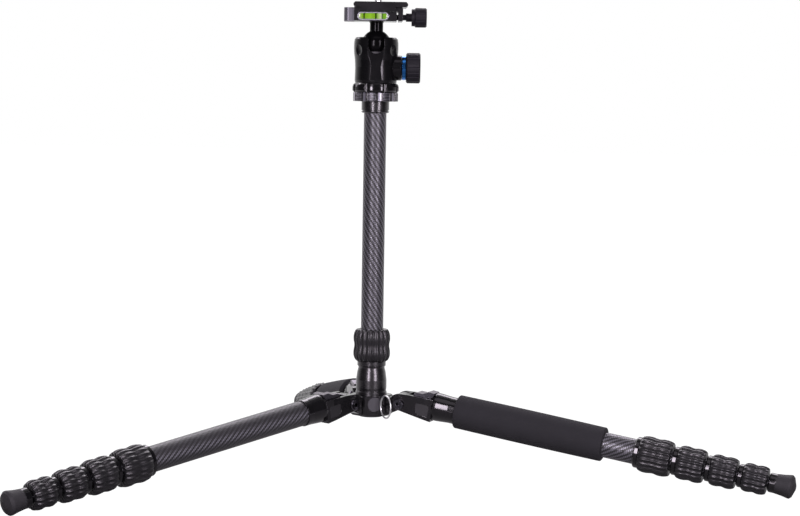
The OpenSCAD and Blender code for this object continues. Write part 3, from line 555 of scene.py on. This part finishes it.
def ribbed_ring(node, matrix, ends):
    """Grip ring with rounded ribs over both bulges and the waist, in place of the CAD ring."""
    local = local_points(node, matrix)
    start, end, outer = extent(local)
    near = min(off_axis(point) for point in local if point.x < start + BORE_END)
    far = min(off_axis(point) for point in local if point.x > end - BORE_END)
    sides = round(2 * math.pi * outer / RIB_PITCH) * SIDES_PER_RIB
    step = start + RING_STEP_SHARE * (end - start)
    rows = [(end, far, 0), (step, far, 0), (step, near, 0), (start, near, 0)]
    for share, waist, drawn in RING_STATIONS:
        station = start + share * (end - start)
        depth = RIB_DEPTH * (RIB_END_SHARE if station in (start, end) else 1)
        rows.append((station, outer - WAIST * (waist + ends * drawn), depth))
    points = []
    for station, radius, depth in rows:
        for side, angle in enumerate(full_turn(sides)):
            sunk = depth * rib_share(side % SIDES_PER_RIB / SIDES_PER_RIB)
            points.append(around(matrix, station, radius - sunk, angle))
    faces = ring_faces(len(rows), sides, turned=True)
    piece = new_piece(f"{node}_ribs", points, faces, RIB_RUBBER, node)
    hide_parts(node)


# Strap ring's wire
WIRE_RADIUS = 0.75 * MM
WIRE_TURNS = 96
WIRE_SIDES = 14


def strap_ring():
    """Round wire ring in place of the CAD one."""
    low, high = corners_of("strap_ring")
    middle = (low + high) / 2
    radius = (high.z - low.z) / 2 - WIRE_RADIUS
    axle = joint_axis("strap_ring_swing").normalized()
    upward = Vector((0, 0, 1))
    across = upward.cross(axle)
    points = []
    for angle in full_turn(WIRE_TURNS):
        away = upward * math.cos(angle) + across * math.sin(angle)
        for around_wire in full_turn(WIRE_SIDES):
            points.append(middle + away * (radius + WIRE_RADIUS * math.cos(around_wire))
                          + axle * WIRE_RADIUS * math.sin(around_wire))
    faces = ring_faces(WIRE_TURNS, WIRE_SIDES)
    piece = new_piece("strap_wire", points, faces, STEEL, "strap_ring")
    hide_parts("strap_ring")


# Disc under the head: patches of level ribs with a notch at each side, and lands between; painted
# highlights lie down the lands' middles and on the ribs' crowns. A share of a patch is 0 in its
# middle and 1 in the middle of a land
PATCHES = 9
SIDES_PER_PATCH = 32
PATCH_SHARE = 0.5
PATCH_FADE_SHARE = 0.06
NOTCH_SHARE = 0.05
NOTCH_DEPTH = 0.5 * MM
LAND_HIGHLIGHT_SHARE = 0.8
DISC_RIBS = 5
DISC_RIB_DEPTH = 0.6 * MM
DISC_RIB_MARGIN = 0.5 * MM
DISC_RIB_SHARES = ((0.1, 0), (0.2, 1), (0.6, 1), (0.7, 0))
DISC_EDGE = 0.4 * MM
DISC_NEAR = 0.2 * MM
DISC_SKIRT = 1.5 * MM
DISC_RIM = 1.2 * MM

# Grooves of the sleeve under the disc, in widths of a groove along it and into it
SLEEVE_GROOVE = 0.8 * MM
SLEEVE_STATIONS = ((0, 1), (1, 0), (1.9, 0), (2.0, 1), (2.9, 1), (3.0, 0))


def share_of(value):
    """Value held between 0 and 1."""
    return min(1.0, max(0.0, value))


def from_patch(turns):
    """Distance from a patch's middle at a number of turns, from 0 to 1 at the land's middle."""
    return abs(turns * PATCHES % 1 - 0.5) * 2


def base_disc():
    """Sleeve and disc in place of the CAD ones."""
    matrix = column_frame()
    inverse = matrix.inverted()
    local = local_points("column_top_plate", matrix)
    low, high, outer = extent(local)
    under = min(point.x for point in local if off_axis(point) > outer - DISC_NEAR)
    sleeve = max(off_axis(point) for point in local if point.x < under - DISC_SKIRT)
    bore = min(off_axis(point) for point in local if point.x < low + BORE_END)
    rows = [(high, bore, 0), (low, bore, 0)]
    for along, into in SLEEVE_STATIONS:
        rows.append((low + along * SLEEVE_GROOVE, sleeve - into * SLEEVE_GROOVE, 0))
    rows += [(under - DISC_NEAR, sleeve, 0), (under, outer - DISC_EDGE, 0),
             (under + DISC_EDGE, outer, 0)]
    pitch = (high - under - 2 * DISC_RIB_MARGIN) / DISC_RIBS
    for rib in range(DISC_RIBS):
        base = under + DISC_RIB_MARGIN + rib * pitch
        rows += [(base + share * pitch, outer, ribbed) for share, ribbed in DISC_RIB_SHARES]
    rows += [(high - DISC_EDGE, outer, 0), (high, outer - DISC_EDGE, 0)]
    sides = PATCHES * SIDES_PER_PATCH
    points = []
    for station, radius, ribbed in rows:
        for side, angle in enumerate(full_turn(sides)):
            edge = from_patch(side / sides)
            depth = DISC_RIB_DEPTH * ribbed * share_of((PATCH_SHARE - edge) / PATCH_FADE_SHARE)
            if radius > outer - NOTCH_DEPTH:
                notch = abs(edge - PATCH_SHARE - NOTCH_SHARE) / NOTCH_SHARE
                depth += NOTCH_DEPTH * share_of(1 - notch)
            points.append(around(matrix, station, radius - depth, angle))
    faces = ring_faces(len(rows), sides, turned=True)
    piece = new_piece("base_disc", points, faces, SOFT_GLOSS, "column")
    piece.data.shade_flat()
    piece.data.materials.append(LAND_PAINTED_HIGHLIGHT)
    piece.data.materials.append(RIB_CROWN_PAINTED_HIGHLIGHT)
    # Painted highlights: pale metal down the middle of each land and on the crowns of the ribs
    for face in piece.data.polygons:
        at = inverse @ face.center
        edge = from_patch(math.atan2(at.z, at.y) / (2 * math.pi))
        if at.x < under + DISC_NEAR or off_axis(at) < outer - DISC_RIM:
            continue
        if edge > LAND_HIGHLIGHT_SHARE:
            face.material_index = 1
        elif edge < PATCH_SHARE and off_axis(at) > outer - DISC_NEAR:
            face.material_index = 2
    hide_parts("column_top_plate")


# Level's liquid, by share of its length: the tube's dark rings, a bubble and a paler strip
LIME = (0.15, 0.31, 0.01)
LINE = (0.01, 0.03, 0.0)
LEVEL_ENDS = ((0.34, 0.42, 0.22), (0.26, 0.36, 0.14))
LEVEL_BANDS = ((0.09, (0.24, 0.36, 0.08)), (0.13, LIME), (0.165, LIME), (0.18, LINE),
               (0.215, LINE), (0.23, LIME), (0.4, (0.2, 0.4, 0.02)), (0.52, LIME), (0.56, LIME),
               (0.575, LINE), (0.61, LINE), (0.625, (0.12, 0.27, 0.01)), (0.7, (0.3, 0.42, 0.14)),
               (0.77, (0.42, 0.5, 0.28)), (0.81, LINE), (0.84, (0.1, 0.26, 0.01)),
               (0.93, (0.14, 0.3, 0.02)))
LEVEL_COLOR = (0.36, 0.66, 0.02)
LEVEL_ROUGHNESS = 0.12
# Painted glow: the liquid shines faintly by itself, in its own colours
LEVEL_PAINTED_GLOW = 0.1

# Level's tube: the rim round it and the gap inside that, how deep it lies and how far it domes
LEVEL_RIM = 0.8 * MM
LEVEL_GAP = 0.15 * MM
LEVEL_INSET = 0.5 * MM
LEVEL_RISE = 0.42 * MM
LEVEL_RINGS = 6
LEVEL_SIDES = 64


def level_material(low, high):
    """Lime liquid in a clear tube that runs between two places along x, with a faint painted glow."""
    nodes = Nodes("level_liquid", LEVEL_COLOR, LEVEL_ROUGHNESS, Coat_Weight=1.0)
    x, _, _ = nodes.split(nodes.place())
    share = nodes.math("DIVIDE", nodes.math("SUBTRACT", x, low), high - low)
    ramp = nodes.tree.nodes.new("ShaderNodeValToRGB")
    nodes.link(share, ramp.inputs[0])
    stops = ramp.color_ramp.elements
    for position, color in enumerate(LEVEL_ENDS):
        stops[position].position = position
        stops[position].color = (*color, 1)
    for position, color in LEVEL_BANDS:
        stops.new(position).color = (*color, 1)
    nodes.tree.links.new(ramp.outputs["Color"], nodes.shader.inputs["Base Color"])
    nodes.tree.links.new(ramp.outputs["Color"], nodes.shader.inputs["Emission Color"])
    nodes.shader.inputs["Emission Strength"].default_value = LEVEL_PAINTED_GLOW
    return nodes.material


def level_vial():
    """Domed tube of liquid lying in the level's rim."""
    low, high = corners_of("bubble_level")
    half_h = (high.z - low.z) / 2 - LEVEL_RIM - LEVEL_GAP
    half_w = (high.x - low.x) / 2 - LEVEL_RIM - LEVEL_GAP
    middle = Vector(((low.x + high.x) / 2, low.y + LEVEL_INSET, (low.z + high.z) / 2))
    points = []
    for ring in range(LEVEL_RINGS):
        turn = math.pi / 2 * ring / LEVEL_RINGS
        shrink = math.cos(turn)
        rise = LEVEL_RISE * math.sin(turn)
        for angle in full_turn(LEVEL_SIDES):
            end = (half_w - half_h) * (1 if math.cos(angle) >= 0 else -1)
            points.append(middle + Vector((end + half_h * shrink * math.cos(angle), -rise,
                                           half_h * shrink * math.sin(angle))))
    faces = ring_faces(LEVEL_RINGS, LEVEL_SIDES, closed=False, turned=True)
    last = (LEVEL_RINGS - 1) * LEVEL_SIDES
    faces.append(tuple(last + side for side in range(LEVEL_SIDES)))
    faces.append(tuple(reversed(range(LEVEL_SIDES))))
    liquid = level_material(low.x + LEVEL_RIM, high.x - LEVEL_RIM)
    new_piece("level_vial", points, faces, liquid, "clamp")


# Studio


# Floor: its white, the grey that it lights other surfaces with, and the glow that fades by the
# shade towards the tripod's middle; and the light of the room
FLOOR_HALF = 12.0
FLOOR_WHITE = grey(0.9, NEUTRAL)
FLOOR_BOUNCE = grey(0.2, NEUTRAL)
FLOOR_ROUGHNESS = 0.9
FLOOR_SHADE = 0.1
FLOOR_GLOW = 1.08
ROOM_LIGHT = 0.05

# Where mirrors begin to see the white backdrop behind the tripod and where they see it in full: as a
# direction's share of y in the sky, and as a place along y on the floor
BACKDROP_SKY = (0.05, 0.75)
BACKDROP_FLOOR = (-0.3, 0.9)


def rays_that_see_white(tree, place, begins, full):
    """1 for rays that see the white: from the camera, through glass, or mirrored to the backdrop."""
    path = tree.nodes.new("ShaderNodeLightPath")
    split = tree.nodes.new("ShaderNodeSeparateXYZ")
    tree.links.new(place, split.inputs[0])
    backdrop = tree.nodes.new("ShaderNodeMapRange")
    backdrop.inputs["From Min"].default_value = begins
    backdrop.inputs["From Max"].default_value = full
    tree.links.new(split.outputs["Y"], backdrop.inputs["Value"])
    mirrored = tree.nodes.new("ShaderNodeMath")
    mirrored.operation = "MULTIPLY"
    tree.links.new(path.outputs["Is Glossy Ray"], mirrored.inputs[0])
    tree.links.new(backdrop.outputs["Result"], mirrored.inputs[1])
    seen = mirrored.outputs[0]
    for ray in ("Is Camera Ray", "Is Transmission Ray"):
        either = tree.nodes.new("ShaderNodeMath")
        either.operation = "MAXIMUM"
        tree.links.new(seen, either.inputs[0])
        tree.links.new(path.outputs[ray], either.inputs[1])
        seen = either.outputs[0]
    return seen


def stage_material():
    """Pale floor: it glows to the rays that see the white, less near the tripod for its shadow."""
    nodes = Nodes("pale_floor", FLOOR_WHITE, FLOOR_ROUGHNESS)
    tree = nodes.tree
    glow = tree.nodes.new("ShaderNodeEmission")
    mix = tree.nodes.new("ShaderNodeMixShader")
    place = nodes.place()
    seen = rays_that_see_white(tree, place, *BACKDROP_FLOOR)
    nodes.mix_color(seen, FLOOR_BOUNCE, FLOOR_WHITE)
    x, y, _ = nodes.split(place)
    squares = nodes.math("ADD", nodes.math("POWER", x, 2.0), nodes.math("POWER", y, 2.0))
    distance = nodes.math("SQRT", squares)
    near = nodes.math("SUBTRACT", 1.0, nodes.math("MINIMUM", distance, 1.0))
    white = nodes.math("SUBTRACT", 1.0, nodes.math("MULTIPLY", near, FLOOR_SHADE))
    glow.inputs["Strength"].default_value = FLOOR_GLOW
    nodes.link(nodes.math("MULTIPLY", seen, white), mix.inputs[0])
    tree.links.new(nodes.shader.outputs[0], mix.inputs[1])
    tree.links.new(glow.outputs[0], mix.inputs[2])
    tree.links.new(mix.outputs[0], tree.nodes["Material Output"].inputs[0])
    return nodes.material


def make_floor():
    half = FLOOR_HALF
    mesh = bpy.data.meshes.new("floor")
    corners = [(-half, -half, 0), (half, -half, 0), (half, half, 0), (-half, half, 0)]
    mesh.from_pydata(corners, [], [(0, 1, 2, 3)])
    mesh.materials.append(stage_material())
    floor = bpy.data.objects.new("floor", mesh)
    bpy.context.scene.collection.objects.link(floor)


def make_world():
    world = bpy.data.worlds.new("studio")
    world.use_nodes = True
    bpy.context.scene.world = world
    tree = world.node_tree
    place = tree.nodes.new("ShaderNodeTexCoord").outputs["Generated"]
    seen = rays_that_see_white(tree, place, *BACKDROP_SKY)
    level = tree.nodes.new("ShaderNodeMapRange")
    level.inputs["To Min"].default_value = ROOM_LIGHT
    level.inputs["To Max"].default_value = 1.0
    tree.links.new(seen, level.inputs["Value"])
    background = tree.nodes["Background"]
    background.inputs["Color"].default_value = (1, 1, 1, 1)
    tree.links.new(level.outputs["Result"], background.inputs["Strength"])


# Lamps' colour, a little violet like the photograph's reflections, and the height they aim at
LAMP_COLOR = (1.0, 0.94, 1.02)
LAMP_TARGET_Z = 0.25

# Each lamp: azimuth, 0 at the camera and positive to its right, and elevation in degrees, then
# distance and size in metres and power in watts
LAMPS = (
    ("left_strip", -21, 14, 2.2, (0.34, 1.5), 34),
    ("right_strip", 32, 14, 2.2, (0.34, 1.5), 34),
    ("overhead", 10, 70, 2.2, (1.8, 1.2), 6),
    ("back_top", 172, 42, 2.4, (2.0, 0.8), 28),
    ("left_back", -128, 34, 2.4, (1.2, 1.2), 24),
)


def area_light(name, azimuth, elevation, distance, size, power):
    """Soft box aimed at the tripod's middle."""
    target = Vector((COLUMN.x, COLUMN.y, LAMP_TARGET_Z))
    turn = math.radians(azimuth)
    rise = math.radians(elevation)
    away = Vector((math.sin(turn) * math.cos(rise), -math.cos(turn) * math.cos(rise),
                   math.sin(rise)))
    data = bpy.data.lights.new(name, "AREA")
    data.shape = "RECTANGLE"
    data.size, data.size_y = size
    data.energy = power
    data.color = LAMP_COLOR
    lamp = bpy.data.objects.new(name, data)
    lamp.location = target + away * distance
    lamp.rotation_mode = "QUATERNION"
    lamp.rotation_quaternion = (-away).to_track_quat("-Z", "Y")
    bpy.context.scene.collection.objects.link(lamp)


def make_camera():
    forward = Vector((math.sin(YAW_RIGHT) * math.cos(PITCH_DOWN),
                      math.cos(YAW_RIGHT) * math.cos(PITCH_DOWN), -math.sin(PITCH_DOWN)))
    right = forward.cross(Vector((0, 0, 1))).normalized()
    upward = right.cross(forward)
    rolled_right = right * math.cos(ROLL) + upward * math.sin(ROLL)
    rolled_up = upward * math.cos(ROLL) - right * math.sin(ROLL)
    matrix = Matrix((rolled_right, rolled_up, -forward)).transposed().to_4x4()
    matrix.translation = Vector((COLUMN.x + CAMERA_RIGHT, COLUMN.y - CAMERA_DISTANCE,
                                 PIVOT_Z + CAMERA_RISE))
    data = bpy.data.cameras.new("camera")
    data.sensor_width = SENSOR_WIDTH
    data.lens = SENSOR_WIDTH * FOCAL_PX / PHOTO_WIDTH_PX
    camera = bpy.data.objects.new("camera", data)
    camera.matrix_world = matrix
    bpy.context.scene.collection.objects.link(camera)
    bpy.context.scene.camera = camera


bpy.context.scene.view_settings.view_transform = "Standard"
make_camera()
make_floor()
make_world()
for lamp in LAMPS:
    area_light(*lamp)
dress_cad()
for leg in FOAM_LEGS:
    foam_grip(leg)
for leg in LEGS:
    for number in range(1, LOCKS_PER_LEG + 1):
        ribbed_ring(f"{leg}_lock_{number}", leg_frame(leg), LEG_LOCK_ENDS)
ribbed_ring("column_lock", column_frame(), COLUMN_LOCK_ENDS)
strap_ring()
level_vial()
base_disc()
